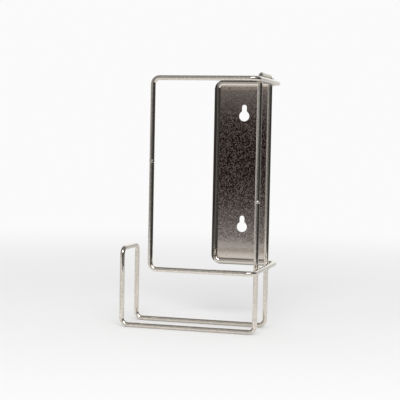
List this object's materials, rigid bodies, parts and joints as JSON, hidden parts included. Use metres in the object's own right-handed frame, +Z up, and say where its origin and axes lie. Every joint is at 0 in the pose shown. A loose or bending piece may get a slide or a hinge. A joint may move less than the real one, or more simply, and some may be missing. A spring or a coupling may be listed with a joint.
{
  "type": "disposable glove dispenser",
  "caption": "Plated wire holder for an upright box of disposable gloves: a J-shaped cradle, a guard loop framing the box's window, and a beaded plate with keyholes for wall screws.",
  "frame": {"origin": "on the floor under the middle of the outline", "axes": "+Z up; +Y towards the wall that it hangs on; -X towards the cradle's lip"},
  "size_m": [0.1452, 0.1068, 0.254],
  "materials": {
    "plated_wire": "bright nickel plate over drawn steel wire",
    "plated_sheet": "bright nickel plate over pressed steel sheet, finely mottled",
    "plated_weld": "nickel plate over weld metal"
  },
  "bodies": {
    "root": {"back_plate": "plated_sheet", "guard_loop": "plated_wire", "cradle": "plated_wire", "weld_top_front": "plated_weld", "weld_top_rear": "plated_weld", "weld_bottom_front": "plated_weld", "weld_bottom_rear": "plated_weld", "tack_top_left": "plated_weld", "tack_top_right": "plated_weld", "tack_bottom_left": "plated_weld", "tack_bottom_right": "plated_weld"}
  },
  "joints": []
}
